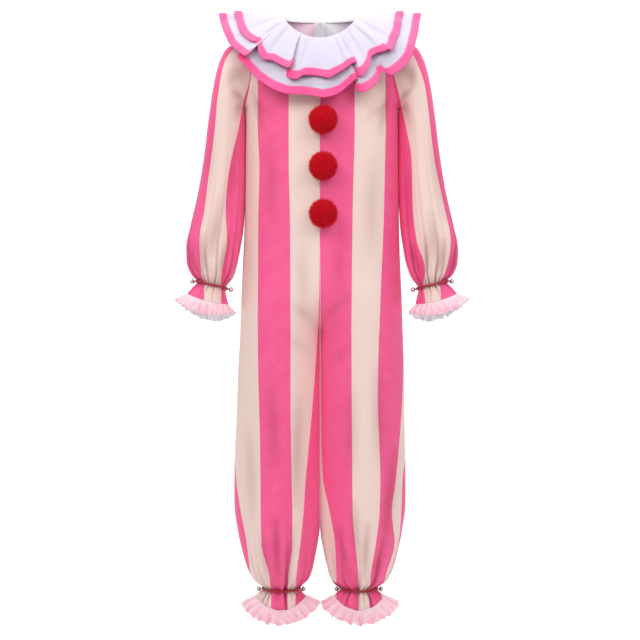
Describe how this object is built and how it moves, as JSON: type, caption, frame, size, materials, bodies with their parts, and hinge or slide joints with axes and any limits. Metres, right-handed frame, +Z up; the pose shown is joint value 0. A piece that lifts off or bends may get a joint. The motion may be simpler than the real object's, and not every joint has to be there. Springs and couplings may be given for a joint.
{
  "type": "clown costume",
  "caption": "One-piece striped clown jumpsuit in worn form with a two-layer gathered collar, fur pompoms, and cords with bells at frilled cuffs and ankles.",
  "frame": {"origin": "the middle of the neck opening, level with its two side points, where the wearer's shoulders hold the costume", "axes": "+Z up along the worn body, -Y out of the front, +X to the viewer's right when seen from the front"},
  "size_m": [0.5824, 0.2851, 1.2175],
  "materials": {
    "pink_stripe_cloth": "woven satin, striped pink and cream",
    "collar_cloth": "thin white satin",
    "pink_ribbon": "satin ribbon",
    "pale_satin": "pale pink satin",
    "red_cord": "twisted red cord",
    "red_fur": "short dense red fur",
    "white_tape": "woven white tape",
    "silver_metal": "bright plated"
  },
  "bodies": {
    "garment": {"sleeve_left": "pink_stripe_cloth", "front_left_yoke": "pink_stripe_cloth", "back_left_yoke": "pink_stripe_cloth", "front_left_trunk": "pink_stripe_cloth", "back_left_trunk": "pink_stripe_cloth", "front_left_leg": "pink_stripe_cloth", "back_left_leg": "pink_stripe_cloth", "front_left_ankle": "pink_stripe_cloth", "back_left_ankle": "pink_stripe_cloth", "frill_wrist_left": "pale_satin", "frill_ankle_left": "pale_satin", "cord_wrist_left": "red_cord", "cord_ankle_left": "red_cord", "bell_wrist_left_outer": "silver_metal", "bell_wrist_left_inner": "silver_metal", "bell_ankle_left_outer": "silver_metal", "bell_ankle_left_inner": "silver_metal", "zip_tape_left": "white_tape", "sleeve_right": "pink_stripe_cloth", "front_right_yoke": "pink_stripe_cloth", "back_right_yoke": "pink_stripe_cloth", "front_right_trunk": "pink_stripe_cloth", "back_right_trunk": "pink_stripe_cloth", "front_right_leg": "pink_stripe_cloth", "back_right_leg": "pink_stripe_cloth", "front_right_ankle": "pink_stripe_cloth", "back_right_ankle": "pink_stripe_cloth", "frill_wrist_right": "pale_satin", "frill_ankle_right": "pale_satin", "cord_wrist_right": "red_cord", "cord_ankle_right": "red_cord", "bell_wrist_right_outer": "silver_metal", "bell_wrist_right_inner": "silver_metal", "bell_ankle_right_outer": "silver_metal", "bell_ankle_right_inner": "silver_metal", "zip_tape_right": "white_tape", "collar_lower": "collar_cloth", "collar_lower_band": "pink_ribbon", "collar_upper": "collar_cloth", "collar_upper_band": "pink_ribbon", "neck_binding": "white_tape", "pompom_top": "red_fur", "pompom_middle": "red_fur", "pompom_bottom": "red_fur", "zip_slider": "silver_metal"},
    "pull": {"zip_pull": "silver_metal"}
  },
  "joints": [
    {"name": "zip_pull_hinge", "type": "hinge", "parent": "garment", "child": "pull", "pos_m": [0, 0.07431, -0.03224], "axis": [1, 0, 0], "range_deg": [0, 160]}
  ]
}
